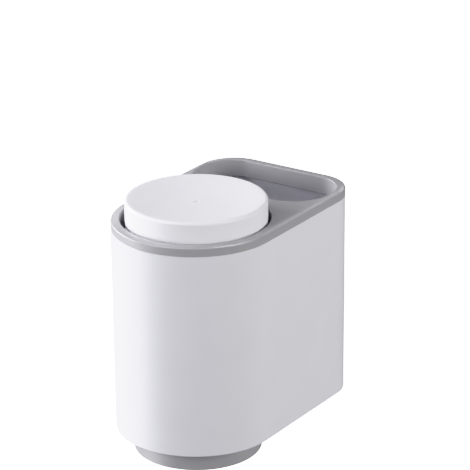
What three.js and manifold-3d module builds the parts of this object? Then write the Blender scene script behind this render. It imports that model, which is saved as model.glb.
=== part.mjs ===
// Wall-hung toothbrush holder with a rinse cup that parks base up in a round well, and that can also
// be hung by its base from a magnetic boss under the well. Millimetres, +Z up, the wall is the plane
// y = 0, the room is towards -Y, and the origin is the middle of the adhesive pad on the wall.

import * as THREE from "three";
import { mergeVertices } from "three/addons/utils/BufferGeometryUtils.js";
import Module from "manifold-3d";

const wasm = await Module();
wasm.setup();

// Driving dimensions of the rinse cup
const cupRadius = 36; // outside, at the base
const cupHeight = 109.4;
const cupFlare = 0.4; // how much wider the mouth is, per side
const cupWall = 1.8;
const cupLipRound = 0.8;
const cupCorner = 4; // inside, where the wall meets the end
const capHeight = 15; // the cap that closes the base
const capWall = 1.5;
const capEdgeRound = 1.4;
const capLip = 2.2; // from the side of the cap to the edge of its dish
const dishDepth = 2;
const capThickness = 1.6; // under the middle of the dish
const gateRadius = 1.1; // moulding gate in the middle of the dish
const gateDepth = 0.3;
const gateTaper = 0.7; // of the gate's radius, at its foot
const keeperRadius = 27; // steel disc between the cup and its cap
const keeperThickness = 1;

// Driving dimensions of the tray that frames the top
const cupGap = 2.3; // round the cup, in its hole
const frontRim = 4.3; // from the hole to the outside, at the front
const sideRim = 2.9; // from the brush compartment to the outside, at the sides
const backRim = 6.2; // from the brush compartment to the back
const cupWeb = 3; // between the hole and the brush compartment
const compartmentDepth = 41.4; // front to back
const compartmentFrontCorner = 21;
const compartmentBackCorner = 17;
const rimHeight = 5.2; // what shows above the shell
const rimRound = 1;
const holeRound = 0.7;
const collarDepth = 9.4; // from the top of the tray
const collarWall = 1.5;
const deckThickness = 2;
const deckRib = 10; // stiffens the deck under the web
const cupProud = 10.5; // how far the parked cup stands above the tray
const cupSwayRight = 1.2; // the parked cup is loose, and stands off the middle of its hole
const cupSwayFront = 0.8;
const snapLength = 8;
const snapHeight = 1.4;
const snapReach = 0.6;

// Driving dimensions of the outer shell
const shellWall = 1.6;
const floorThickness = 2.4;
const shellDraft = 0.45; // how much the foot is drawn in, per side
const shellCorner = 20; // back corners, seen from above
const shellEdgeRound = 0.6;
const partitionWall = 1.6; // between the well and the brush compartment
const wellSlack = 1.1; // how much wider the well is than the tray's hole
const partitionDrop = 3; // from the tray down to the partition
const cupRibHeight = 12; // ribs that carry the mouth of the parked cup
const cupRibWidth = 1.6;
const cupRibReach = 11; // from the well's wall towards its middle
const cupRibs = 4;
const drainWidth = 2.6;
const drainAngle = 44; // degrees of the well's floor that each slot takes
const brushDrains = 3;
const brushDrainLength = 14;
const brushDrainWidth = 4;
const brushDrainPitch = 22;

// Driving dimensions of the magnetic boss
const bossHeight = 12;
const bossDraft = 0.8;
const bossWall = 1.8;
const bossFloor = 1.6;
const bossEdgeRound = 1;
const nestGap = 0.7; // between the boss and the cup's dish when the cup hangs
const bossLipHeight = 0.8;
const bossLipWidth = 0.9;
const magnets = 3;
const magnetRadius = 6;
const magnetThickness = 3;
const magnetCircle = 16; // from the middle of the boss
const magnetPocketWall = 1.2;
const magnetPocketShare = 0.8; // of the magnet's thickness
const backPlateThickness = 1;
const holdDownRadius = 6;
const holdDownWall = 1.6;
const postCircle = 24;
const postRadius = 3.2;
const screwRadius = 1.2;
const screwLength = 9;
const screwHeadRadius = 2.7;
const screwHeadHeight = 1.6;
const screwCrown = 0.6; // of the head's radius, at its top

// Driving dimensions of the wall hanger
const padWidth = 58;
const padHeight = 40;
const padThickness = 1;
const plateMargin = 3; // of the plate round the pad
const plateThickness = 2.4;
const plateCorner = 6;
const hangerHeight = 68; // middle of the plate, above the underside of the shell
const hookPitch = 36;
const hookWidth = 12;
const hookStem = 3;
const hookRise = 8;
const hookThickness = 2;
const wallStandoff = 0.4; // of the shell from the wall

// Clearances
const seat = 0.2; // between pieces that rest on each other or are bonded
const fit = 0.3; // between pieces that slide into each other
const cut = 1; // how far a cutter runs past what it cuts

// Resolution
const arcSteps = 6; // half the steps in each quarter arc of an outline
const turnSteps = 48; // steps round a full turn
const roundSteps = 4; // steps in a rounded edge
const dishSteps = 8; // steps from the edge of the cup's dish to its middle
const magnetSteps = 32; // steps round a magnet
const postSteps = 24; // steps round a screw post
const screwSteps = 16; // steps round a screw

// Places that follow from the driving dimensions, in the holder's frame: its origin is on the cup's
// axis, at the underside of the shell
const holeRadius = cupRadius + cupGap;
const frontRadius = holeRadius + frontRim;
const compartmentFront = holeRadius + cupWeb;
const compartmentBack = compartmentFront + compartmentDepth;
const backFace = compartmentBack + backRim;
const wallPlane = backFace + wallStandoff;
const cupMouth = floorThickness + cupRibHeight + seat;
const cupTop = cupMouth + cupHeight;
const trayTop = cupTop - cupProud;
const shellTop = trayTop - rimHeight;
const trayFoot = trayTop - collarDepth;
const wellRadius = holeRadius + wellSlack;
const dishRadius = cupRadius - capLip;
const bossTipRadius = dishRadius - nestGap;
const bossRootRadius = bossTipRadius + bossDraft;
const hookLift = hookRise + fit;

// Colours and finishes
function finish(color, roughness, metalness = 0) {
  return new THREE.MeshStandardMaterial({ color, roughness, metalness });
}
const whitePlastic = finish(0xeeeef2, 0.35);
const greyPlastic = finish(0xa9a9ac, 0.45);
const cupPlastic = finish(0xf2f2f5, 0.3);
const steel = finish(0xb9bcc0, 0.35, 1);
const nickel = finish(0xc9c6c0, 0.2, 1);
const clearPlastic = finish(0xdde2e4, 0.4);
const foamTape = finish(0xf4f4f0, 0.9);

// Closed geometry as a manifold solid, and back
function solidOf(geometry) {
  const bare = geometry.index ? geometry.toNonIndexed() : geometry.clone();
  bare.deleteAttribute("normal");
  bare.deleteAttribute("uv");
  const merged = mergeVertices(bare, 1e-4);
  const corners = merged.index.array;
  const triangles = [];
  for (let i = 0; i < corners.length; i += 3) {
    const [a, b, c] = corners.slice(i, i + 3);
    if (a !== b && b !== c && c !== a) triangles.push(a, b, c);
  }
  return new wasm.Manifold(
    new wasm.Mesh({
      numProp: 3,
      vertProperties: merged.attributes.position.array,
      triVerts: new Uint32Array(triangles),
    }),
  );
}

function geometryOf(solid) {
  const mesh = solid.getMesh();
  return new THREE.BufferGeometry()
    .setAttribute("position", new THREE.BufferAttribute(mesh.vertProperties, 3))
    .setIndex(new THREE.BufferAttribute(mesh.triVerts, 1));
}

function piece(name, solid, material) {
  const mesh = new THREE.Mesh(geometryOf(solid), material.clone());
  mesh.name = name;
  return mesh;
}

// A solid skinned over outlines that have the same number of points, from the lowest up
function loft(sections) {
  const count = sections[0].points.length;
  const positions = sections.flatMap(({ points, z }) => points.flatMap((p) => [p.x, p.y, z]));
  const index = [];
  for (let ring = 0; ring < sections.length - 1; ring++) {
    for (let i = 0; i < count; i++) {
      const a = ring * count + i;
      const b = ring * count + ((i + 1) % count);
      index.push(a, b, b + count, a, b + count, a + count);
    }
  }
  const lowest = sections[0].points;
  const highest = sections[sections.length - 1].points;
  const above = count * (sections.length - 1);
  for (const [a, b, c] of facing(lowest)) index.push(c, b, a);
  for (const [a, b, c] of facing(highest)) index.push(above + a, above + b, above + c);
  const geometry = new THREE.BufferGeometry()
    .setAttribute("position", new THREE.Float32BufferAttribute(positions, 3))
    .setIndex(index);
  return solidOf(geometry);
}

// Triangles that fill an outline, each turning anticlockwise
function facing(points) {
  return THREE.ShapeUtils.triangulateShape(points, []).map(([a, b, c]) =>
    THREE.ShapeUtils.area([points[a], points[b], points[c]]) > 0 ? [a, b, c] : [a, c, b],
  );
}

// A solid turned about the Z axis from [radius, z] points that run up its outside
function turned(profile, steps = turnSteps) {
  const points = profile.map(([radius, z]) => new THREE.Vector2(radius, z));
  const solid = solidOf(new THREE.LatheGeometry(points, steps).rotateX(Math.PI / 2));
  return solid;
}

function disc(radius, low, high, steps = turnSteps) {
  return turned([[0, low], [radius, low], [radius, high], [0, high]], steps);
}

function ring(inner, outer, low, high, steps = turnSteps) {
  return disc(outer, low, high, steps).subtract(disc(inner, low - cut, high + cut, steps));
}

function block(x0, x1, y0, y1, z0, z1) {
  const box = new THREE.BoxGeometry(x1 - x0, y1 - y0, z1 - z0);
  return solidOf(box.translate((x0 + x1) / 2, (y0 + y1) / 2, (z0 + z1) / 2));
}

// Points of a quarter round from angle 0 to 90 degrees: [share across, share up]
function quarter(steps = roundSteps) {
  return Array.from({ length: steps + 1 }, (_, i) => {
    const angle = (i / steps) * (Math.PI / 2);
    return [1 - Math.cos(angle), Math.sin(angle)];
  });
}

// A rectangle with its corners rounded, upright in the XZ plane, as a plate between two depths
function uprightPlate(width, low, high, corner, y0, y1) {
  const x = width / 2 - corner;
  const shape = new THREE.Shape();
  shape.absarc(-x, low + corner, corner, Math.PI, 1.5 * Math.PI);
  shape.absarc(x, low + corner, corner, 1.5 * Math.PI, 2 * Math.PI);
  shape.absarc(x, high - corner, corner, 0, 0.5 * Math.PI);
  shape.absarc(-x, high - corner, corner, 0.5 * Math.PI, Math.PI);
  const plate = new THREE.ExtrudeGeometry(shape, {
    depth: y1 - y0,
    bevelEnabled: false,
    curveSegments: roundSteps,
  });
  return solidOf(plate.rotateX(Math.PI / 2).translate(0, y1, 0));
}

// The holder seen from above: a half-round front, straight sides and rounded back corners
function bodyOutline(inset, backInset) {
  const half = frontRadius - inset;
  const corner = shellCorner - inset;
  const back = backFace - backInset;
  const outline = new THREE.Shape();
  outline.absarc(0, 0, half, Math.PI, 1.5 * Math.PI);
  outline.absarc(0, 0, half, 1.5 * Math.PI, 2 * Math.PI);
  outline.absarc(half - corner, back - corner, corner, 0, 0.5 * Math.PI);
  outline.absarc(corner - half, back - corner, corner, 0.5 * Math.PI, Math.PI);
  return openPoints(outline);
}

// The brush compartment seen from above
function compartmentOutline(grow) {
  const half = frontRadius - sideRim + grow;
  const front = compartmentFront - grow;
  const back = compartmentBack + grow;
  const room = Math.min(1, compartmentDepth / (compartmentFrontCorner + compartmentBackCorner));
  const near = compartmentFrontCorner * room + grow;
  const far = compartmentBackCorner * room + grow;
  const outline = new THREE.Shape();
  outline.absarc(near - half, front + near, near, Math.PI, 1.5 * Math.PI);
  outline.absarc(half - near, front + near, near, 1.5 * Math.PI, 2 * Math.PI);
  outline.absarc(half - far, back - far, far, 0, 0.5 * Math.PI);
  outline.absarc(far - half, back - far, far, 0.5 * Math.PI, Math.PI);
  return openPoints(outline);
}

// An outline's points without the one that repeats the first
function openPoints(outline) {
  const points = outline.getPoints(arcSteps);
  return points[0].distanceTo(points[points.length - 1]) < seat / 2 ? points.slice(0, -1) : points;
}

function around(count, first, place) {
  return Array.from({ length: count }, (_, i) => place(first + (i * 2 * Math.PI) / count, i));
}

function atAngle(solid, angle) {
  return solid.rotate([0, 0, THREE.MathUtils.radToDeg(angle)]);
}

// Places of the hanger, shared by the shell's recess and the plate on the wall
const plateFront = wallPlane - padThickness - plateThickness;
const plateLow = hangerHeight - padHeight / 2 - plateMargin;
const plateHigh = hangerHeight + padHeight / 2 + plateMargin;
const plateWidth = padWidth + 2 * plateMargin;
const panelBack = plateFront - fit;
const panelFront = panelBack - shellWall;
const stemTop = hangerHeight;

// One-piece outer shell: side wall, floor, cup ribs, partition and the recess for the hanger
function outerShell() {
  const rounded = quarter().map(([across, up]) => ({
    points: bodyOutline(shellDraft + shellEdgeRound * (1 - up), shellEdgeRound * (1 - up)),
    z: shellEdgeRound * across,
  }));
  const outside = loft([...rounded, { points: bodyOutline(0, 0), z: shellTop }]);
  let inside = loft([
    { points: bodyOutline(shellDraft + shellWall, shellWall), z: floorThickness },
    { points: bodyOutline(shellWall, shellWall), z: shellTop + cut },
  ]);

  const recessWidth = plateWidth + 2 * fit;
  const recessLow = plateLow - hookLift - fit;
  const recessHigh = plateHigh + fit;
  const recess = uprightPlate(recessWidth, recessLow, recessHigh, plateCorner, panelBack, backFace + cut);
  const bulge = uprightPlate(
    recessWidth + 2 * shellWall,
    recessLow - shellWall,
    recessHigh + shellWall,
    plateCorner + shellWall,
    panelFront,
    backFace,
  );
  inside = inside.subtract(bulge).subtract(wellWalls());
  return outside
    .subtract(inside)
    .subtract(recess)
    .subtract(hookSlots())
    .subtract(wellFloorCuts())
    .subtract(brushDrainCuts())
    .subtract(snapPockets())
    .add(ring(holdDownRadius - holdDownWall, holdDownRadius, backPlateTop() + seat, cut));
}

// The partition behind the cup, and the ribs on which the parked cup's mouth stands
function wellWalls() {
  const partitionTop = trayFoot - partitionDrop;
  const partition = ring(wellRadius, wellRadius + partitionWall, 0, partitionTop).intersect(
    block(-frontRadius, frontRadius, 0, frontRadius, 0, shellTop),
  );
  const ribTop = floorThickness + cupRibHeight;
  const ribFoot = wellRadius - cupRibReach;
  const ribRoot = wellRadius + partitionWall;
  const rib = block(ribFoot, ribRoot, -cupRibWidth / 2, cupRibWidth / 2, 0, ribTop);
  const ribs = around(cupRibs, Math.PI / cupRibs, (angle) => atAngle(rib, angle));
  return ribs.reduce((walls, each) => walls.add(each), partition);
}

// Drain slots round the boss, the groove for its lip and the holes for its screws
function wellFloorCuts() {
  const slotOuter = wellRadius - fit;
  const slot = ring(slotOuter - drainWidth, slotOuter, -cut, floorThickness + cut).intersect(
    sector(drainAngle, floorThickness),
  );
  const slots = around(cupRibs, 0, (angle) => atAngle(slot, angle));
  const hole = disc(screwRadius + fit, -cut, floorThickness + cut, screwSteps).translate(postCircle, 0, 0);
  const holes = around(magnets, Math.PI / 2, (angle) => atAngle(hole, angle));
  const lipOuter = bossRootRadius - bossWall + bossLipWidth;
  const groove = ring(lipOuter - bossLipWidth - fit, lipOuter + fit, -cut, bossLipHeight + seat);
  return [...slots, ...holes].reduce((cuts, each) => cuts.add(each), groove);
}

// A wedge of the floor, centred on +X
function sector(degrees, high) {
  const half = THREE.MathUtils.degToRad(degrees / 2);
  const reach = 2 * frontRadius;
  const shape = new THREE.Shape();
  shape.moveTo(0, 0);
  shape.lineTo(reach * Math.cos(half), -reach * Math.sin(half));
  shape.lineTo(reach * Math.cos(half), reach * Math.sin(half));
  const wedge = new THREE.ExtrudeGeometry(shape, { depth: high + 4 * cut, bevelEnabled: false });
  return solidOf(wedge.translate(0, 0, -2 * cut));
}

// Obround drains in the floor of the brush compartment
function brushDrainCuts() {
  const middle = (compartmentFront + compartmentBack) / 2;
  const half = (brushDrainLength - brushDrainWidth) / 2;
  const drains = Array.from({ length: brushDrains }, (_, i) => {
    const x = (i - (brushDrains - 1) / 2) * brushDrainPitch;
    const shape = new THREE.Shape();
    shape.absarc(x, middle - half, brushDrainWidth / 2, Math.PI, 2 * Math.PI);
    shape.absarc(x, middle + half, brushDrainWidth / 2, 0, Math.PI);
    const drain = new THREE.ExtrudeGeometry(shape, {
      depth: floorThickness + 2 * cut,
      bevelEnabled: false,
      curveSegments: roundSteps,
    });
    return solidOf(drain.translate(0, 0, -cut));
  });
  return drains.reduce((all, drain) => all.add(drain));
}

// Windows in the recessed panel that the wall hooks pass through
function hookSlots() {
  const low = stemTop + seat - (hookStem + hookRise) - 2 * fit;
  const slots = [-1, 1].map((side) => {
    const x = (side * hookPitch) / 2;
    const half = hookWidth / 2 + fit;
    return block(x - half, x + half, panelFront - cut, panelBack + cut, low, stemTop + seat);
  });
  return slots[0].add(slots[1]);
}

// Wedge-shaped snaps on the sides of the tray, each a bar with a sloping lower face
function snaps(grow) {
  const middle = (trayFoot + shellTop) / 2;
  const root = frontRadius - shellWall - fit - collarWall / 2;
  const tip = frontRadius - shellWall - fit + snapReach + grow;
  const low = middle - snapHeight / 2 - grow;
  const high = middle + snapHeight / 2 + grow;
  const shape = new THREE.Shape();
  shape.moveTo(root, low);
  shape.lineTo(tip - snapReach / 2, low);
  shape.lineTo(tip, middle);
  shape.lineTo(tip, high);
  shape.lineTo(root, high);
  const length = snapLength + 2 * grow;
  const places = [snapLength, compartmentFront + compartmentFrontCorner];
  const bars = places.flatMap((y) =>
    [0, Math.PI].map((turn) => {
      const bar = new THREE.ExtrudeGeometry(shape, { depth: length, bevelEnabled: false });
      bar.rotateX(Math.PI / 2).translate(0, length / 2, 0).rotateZ(turn).translate(0, y, 0);
      return solidOf(bar);
    }),
  );
  return bars.reduce((all, bar) => all.add(bar));
}

function snapPockets() {
  return snaps(fit);
}

// Grey tray: the rim that shows, the deck, and the collars round the cup and the brushes
function topTray() {
  const rimFoot = shellTop + seat;
  const edge = quarter().map(([across, up]) => ({
    points: bodyOutline(rimRound * across, rimRound * across),
    z: trayTop - rimRound + rimRound * up,
  }));
  const rim = loft([{ points: bodyOutline(0, 0), z: rimFoot }, ...edge]);
  const plugInset = shellWall + fit;
  const plug = loft([
    { points: bodyOutline(plugInset, plugInset), z: trayFoot },
    { points: bodyOutline(plugInset, plugInset), z: rimFoot + deckThickness / 2 },
  ]);

  const hollowInset = plugInset + collarWall;
  const hollow = loft([
    { points: bodyOutline(hollowInset, hollowInset), z: trayFoot - cut },
    { points: bodyOutline(hollowInset, hollowInset), z: trayTop - deckThickness },
  ])
    .subtract(disc(holeRadius + collarWall, trayFoot - 2 * cut, trayTop))
    .subtract(
      loft([
        { points: compartmentOutline(collarWall), z: trayFoot - 2 * cut },
        { points: compartmentOutline(collarWall), z: trayTop },
      ]),
    )
    .subtract(block(-deckRib / 2, deckRib / 2, 0, backFace, trayFoot - 2 * cut, trayTop));

  return rim.add(plug).add(snaps(0)).subtract(hollow).subtract(cupHole()).subtract(brushOpening());
}

// The cup's hole through the tray, with its upper edge rounded
function cupHole() {
  const edge = quarter().map(([across, up]) => [
    holeRadius + holeRound * across,
    trayTop - holeRound + holeRound * up,
  ]);
  const low = trayFoot - cut;
  const high = trayTop + cut;
  return turned([[0, low], [holeRadius, low], ...edge, [holeRadius + holeRound, high], [0, high]]);
}

// The opening of the brush compartment, with its upper edge rounded
function brushOpening() {
  const edge = quarter().map(([across, up]) => ({
    points: compartmentOutline(holeRound * across),
    z: trayTop - holeRound + holeRound * up,
  }));
  return loft([
    { points: compartmentOutline(0), z: trayFoot - cut },
    ...edge,
    { points: compartmentOutline(holeRound), z: trayTop + cut },
  ]);
}

function backPlateTop() {
  return backPlateFoot() + backPlateThickness;
}

function backPlateFoot() {
  return magnetFoot() + magnetThickness + seat;
}

function magnetFoot() {
  return bossFloor - bossHeight + seat;
}

// Grey boss under the well, with pockets for the magnets and posts for the screws
function baseBoss() {
  const top = -seat;
  const floor = bossFloor - bossHeight;
  const innerTop = bossRootRadius - bossWall;
  const innerFoot = bossTipRadius - bossWall;
  const edge = quarter().map(([across, up]) => [
    bossTipRadius - bossEdgeRound * (1 - up),
    bossEdgeRound * across - bossHeight,
  ]);
  const lipTop = bossLipHeight - seat;
  const lipOuter = innerTop + bossLipWidth;
  const shell = turned([
    [0, -bossHeight],
    ...edge,
    [bossRootRadius, top],
    [lipOuter, top],
    [lipOuter, lipTop],
    [innerTop, lipTop],
    [innerTop, top],
    [innerFoot, floor],
    [0, floor],
  ]);
  const pocketTop = floor + magnetThickness * magnetPocketShare;
  const pocketInner = magnetRadius + fit;
  const pocketOuter = pocketInner + magnetPocketWall;
  const pockets = around(magnets, Math.PI / 6, (angle) => {
    const wall = ring(pocketInner, pocketOuter, floor - bossFloor / 2, pocketTop, magnetSteps);
    return atAngle(wall.translate(magnetCircle, 0, 0), angle);
  });
  const posts = around(magnets, Math.PI / 2, (angle) => {
    const post = disc(postRadius, floor - bossFloor / 2, top, postSteps);
    const pilot = disc(screwRadius + fit, screwFoot() - fit, top + cut, screwSteps);
    return atAngle(post.subtract(pilot).translate(postCircle, 0, 0), angle);
  });
  return [...pockets, ...posts].reduce((all, each) => all.add(each), shell);
}

function screwFoot() {
  return floorThickness + seat - screwLength;
}

function bossMagnet(angle) {
  const magnet = disc(magnetRadius, magnetFoot(), magnetFoot() + magnetThickness, magnetSteps);
  return atAngle(magnet.translate(magnetCircle, 0, 0), angle);
}

function magnetBackPlate() {
  return disc(postCircle - postRadius - fit, backPlateFoot(), backPlateTop());
}

function bossScrew(angle) {
  const head = floorThickness + seat;
  const screw = turned(
    [
      [0, screwFoot()],
      [screwRadius, screwFoot() + screwRadius],
      [screwRadius, head],
      [screwHeadRadius, head],
      [screwHeadRadius, head + screwHeadHeight / 2],
      [screwHeadRadius * screwCrown, head + screwHeadHeight],
      [0, head + screwHeadHeight],
    ],
    screwSteps,
  );
  return atAngle(screw.translate(postCircle, 0, 0), angle);
}

// Places up the cup, from its mouth to its base
const capFoot = cupTop - capHeight;
const capInside = cupTop - dishDepth - capThickness; // flat underside of the cap
const cupEnd = capInside - keeperThickness - 2 * seat; // outside of the cup's own end
const spigotRadius = cupRadius - capWall - fit;

// The cup itself, mouth down, with a spigot at its base for the cap
function cupBody() {
  const mouthRadius = cupRadius + cupFlare;
  const innerMouth = mouthRadius - cupWall;
  const innerEnd = spigotRadius - cupWall;
  const inside = cupEnd - cupWall;
  const lipOut = quarter().map(([across, up]) => [
    mouthRadius - cupLipRound * (1 - up),
    cupMouth + cupLipRound * across,
  ]);
  const corner = quarter().map(([across, up]) => [
    innerEnd - cupCorner * across,
    inside - cupCorner + cupCorner * up,
  ]);
  return turned([
    [innerMouth, cupMouth],
    ...lipOut,
    [cupRadius, capFoot - fit],
    [spigotRadius, capFoot - fit],
    [spigotRadius, cupEnd],
    [0, cupEnd],
    [0, inside],
    ...corner.reverse(),
    [innerMouth, cupMouth],
  ]);
}

// The cap over the cup's base: a rounded edge, and a shallow dish that nests on the boss
function cupBaseCap() {
  const edge = quarter(roundSteps + 2).map(([across, up]) => [
    cupRadius - capEdgeRound * across,
    cupTop - capEdgeRound + capEdgeRound * up,
  ]);
  const dish = Array.from({ length: dishSteps }, (_, i) => {
    const share = 1 - i / dishSteps;
    const radius = gateRadius + (dishRadius - gateRadius) * share;
    return [radius, cupTop - dishDepth * (1 - share * share)];
  });
  const low = cupTop - dishDepth;
  const inner = cupRadius - capWall;
  return turned([
    [inner, capFoot],
    [cupRadius, capFoot],
    ...edge,
    ...dish,
    [gateRadius, low],
    [gateRadius * gateTaper, low - gateDepth],
    [0, low - gateDepth],
    [0, capInside],
    [inner, capInside],
    [inner, capFoot],
  ]);
}

function cupKeeper() {
  return disc(keeperRadius, cupEnd + seat, cupEnd + seat + keeperThickness);
}

// The plate on the wall, with two hooks that turn up behind the shell's panel
function wallPlate() {
  const back = wallPlane - padThickness;
  const plate = uprightPlate(plateWidth, plateLow, plateHigh, plateCorner, plateFront, back);
  const hookBack = panelFront - fit;
  const hookFront = hookBack - hookThickness;
  return [-1, 1].reduce((all, side) => {
    const x = (side * hookPitch) / 2;
    const left = x - hookWidth / 2;
    const right = x + hookWidth / 2;
    const stem = block(left, right, hookFront, back, stemTop - hookStem, stemTop);
    const rise = block(left, right, hookFront, hookBack, stemTop - hookStem, stemTop + hookRise);
    return all.add(stem).add(rise);
  }, plate);
}

function adhesivePad() {
  const low = hangerHeight - padHeight / 2;
  const high = hangerHeight + padHeight / 2;
  const corner = plateCorner - plateMargin;
  return uprightPlate(padWidth, low, high, corner, wallPlane - padThickness, wallPlane);
}

// The assembly, moved so that the middle of the pad's back is the origin
const assembly = new THREE.Group();
assembly.position.set(0, -wallPlane, -hangerHeight);

const hanger = new THREE.Group();
hanger.add(piece("adhesive_pad", adhesivePad(), foamTape));
hanger.add(piece("wall_plate", wallPlate(), clearPlastic));

const holder = new THREE.Group();
holder.add(piece("outer_shell", outerShell(), whitePlastic));
holder.add(piece("top_tray", topTray(), greyPlastic));
holder.add(piece("base_boss", baseBoss(), greyPlastic));
holder.add(piece("magnet_back_plate", magnetBackPlate(), steel));
around(magnets, Math.PI / 6, (angle, i) => {
  holder.add(piece(`boss_magnet_${i + 1}`, bossMagnet(angle), nickel));
});
around(magnets, Math.PI / 2, (angle, i) => {
  holder.add(piece(`boss_screw_${i + 1}`, bossScrew(angle), steel));
});

const cup = new THREE.Group();
cup.position.set(cupSwayRight, -cupSwayFront, 0);
cup.add(piece("cup_body", cupBody(), cupPlastic));
cup.add(piece("cup_base_cap", cupBaseCap(), cupPlastic));
cup.add(piece("cup_keeper_disc", cupKeeper(), steel));

assembly.add(hanger, holder, cup);

const root = new THREE.Group();
root.add(assembly);
export default root;
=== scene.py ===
import math

import bmesh
import bpy
from mathutils import Matrix, Vector


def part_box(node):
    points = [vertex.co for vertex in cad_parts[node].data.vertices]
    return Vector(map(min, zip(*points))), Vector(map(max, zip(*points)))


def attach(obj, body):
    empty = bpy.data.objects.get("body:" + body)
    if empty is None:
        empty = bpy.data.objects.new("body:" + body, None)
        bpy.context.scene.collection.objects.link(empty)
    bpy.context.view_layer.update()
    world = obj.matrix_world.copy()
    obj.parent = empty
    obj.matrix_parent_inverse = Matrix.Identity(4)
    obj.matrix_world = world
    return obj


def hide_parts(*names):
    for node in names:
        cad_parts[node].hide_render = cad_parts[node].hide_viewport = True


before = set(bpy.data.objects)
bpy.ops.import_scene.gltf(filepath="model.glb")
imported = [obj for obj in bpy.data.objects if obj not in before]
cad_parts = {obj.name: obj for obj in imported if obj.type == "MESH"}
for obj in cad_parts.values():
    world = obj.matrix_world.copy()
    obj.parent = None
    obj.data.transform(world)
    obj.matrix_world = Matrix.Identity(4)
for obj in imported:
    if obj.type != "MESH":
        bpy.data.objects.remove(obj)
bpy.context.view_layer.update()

# Wall-hung toothbrush holder with a rinse cup parked base up in its well. Metres, +Z up, the wall is
# the plane y = 0, and the room is towards -Y. Angles that aren't made radians here are in degrees.

MM = 0.001

# Places read from the frame
tray_low, tray_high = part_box("top_tray")
_, shell_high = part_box("outer_shell")
boss_low, boss_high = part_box("base_boss")
cup_low, cup_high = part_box("cup_body")
cap_low, cap_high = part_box("cup_base_cap")
keeper_low, keeper_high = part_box("cup_keeper_disc")
back_plate_low, back_plate_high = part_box("magnet_back_plate")
plate_low, plate_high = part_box("wall_plate")
pad_low, pad_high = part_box("adhesive_pad")

AXIS_Y = (boss_low.y + boss_high.y) / 2
BODY_HALF = tray_high.x
BACK_FACE = tray_high.y
TRAY_TOP = tray_high.z
TRAY_FOOT = tray_low.z
SHELL_TOP = shell_high.z
CUP_RADIUS = (cap_high.x - cap_low.x) / 2
CUP_CENTRE = ((cap_low.x + cap_high.x) / 2, (cap_low.y + cap_high.y) / 2)
CUP_TOP = cap_high.z
CAP_FOOT = cap_low.z
CUP_MOUTH = cup_low.z
CUP_END = cup_high.z
MOUTH_RADIUS = (cup_high.x - cup_low.x) / 2
KEEPER_RADIUS = (keeper_high.x - keeper_low.x) / 2
BACK_PLATE_RADIUS = back_plate_high.x

# Clearances
SEAT = 0.2 * MM
FIT = 0.3 * MM
CUT = 1 * MM  # how far a cutter reaches past what it cuts

# Sizes of the shell
BOSS_HEIGHT = 12 * MM
UNDERSIDE = boss_low.z + BOSS_HEIGHT
SHELL_WALL = 1.6 * MM
FLOOR_THICKNESS = 2.4 * MM
FLOOR_TOP = UNDERSIDE + FLOOR_THICKNESS
SHELL_DRAFT = 0.45 * MM
BACK_CORNER = 20 * MM
SHELL_EDGE_ROUND = 0.6 * MM
SEAM_ROUND = 0.15 * MM
PARTITION_WALL = 1.6 * MM
PARTITION_DROP = 3 * MM
RIBS = 4
RIB_HEIGHT = 12 * MM
RIB_WIDTH = 1.6 * MM
RIB_REACH = 11 * MM
RIB_ROUND = RIB_WIDTH / 4
RIB_TAPER = 0.9  # share of the rounding by which a rib's top narrows, so that it keeps its corners
DRAIN_WIDTH = 2.6 * MM
DRAIN_ANGLE = 44
DRAIN_ROUND = 0.28 * MM
BRUSH_DRAINS = 3
BRUSH_DRAIN_LENGTH = 14 * MM
BRUSH_DRAIN_WIDTH = 4 * MM
BRUSH_DRAIN_PITCH = 22 * MM
BRUSH_DRAIN_CORNER = 0.999 * BRUSH_DRAIN_WIDTH / 2  # just short of a full half-round end
OPENING_ROUND = 0.4 * MM

# Sizes of the tray that frames the top
CUP_GAP = 2.3 * MM
HOLE_RADIUS = CUP_RADIUS + CUP_GAP
WELL_SLACK = 1.1 * MM
WELL_RADIUS = HOLE_RADIUS + WELL_SLACK
CUP_WEB = 3 * MM
SIDE_RIM = 2.9 * MM
BACK_RIM = 6.2 * MM
COMPARTMENT_FRONT = AXIS_Y + HOLE_RADIUS + CUP_WEB
COMPARTMENT_BACK = BACK_FACE - BACK_RIM
COMPARTMENT_FRONT_CORNER = 21 * MM
COMPARTMENT_BACK_CORNER = 17 * MM
RIM_CROWN = 5.5 * MM
RIM_DROP = 1.15 * MM
HOLE_ROUND = 0.3 * MM
COLLAR_WALL = 1.5 * MM
COLLAR_ROUND = 0.5 * MM
DECK_THICKNESS = 2 * MM
DECK_RIB = 10 * MM
DECK_RIB_CORNER = 1 * MM
SEAM = 0.06 * MM
PLUG_INSET = SHELL_WALL + FIT
SNAP_LENGTH = 8 * MM
SNAP_HEIGHT = 1.4 * MM
SNAP_REACH = 0.6 * MM

# Sizes of the cup and its cap
CUP_WALL = 1.8 * MM
CUP_LIP_ROUND = 0.8 * MM
CUP_CORNER = 4 * MM
CAP_WALL = 1.5 * MM
CAP_EDGE_ROUND = 1.4 * MM
CAP_LIP = 2.2 * MM
CAP_THICKNESS = 1.6 * MM
CAP_FOOT_ROUND = 0.2 * MM
DISH_DEPTH = 2 * MM
DISH_RADIUS = CUP_RADIUS - CAP_LIP
GATE_RADIUS = 1.3 * MM
GATE_DEPTH = 0.65 * MM
GATE_GROOVE = 0.8 * MM
GATE_SLOPE = GATE_GROOVE / 4
GATE_NUB = GATE_RADIUS - GATE_GROOVE
GATE_NUB_DROP = GATE_DEPTH / 4

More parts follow.
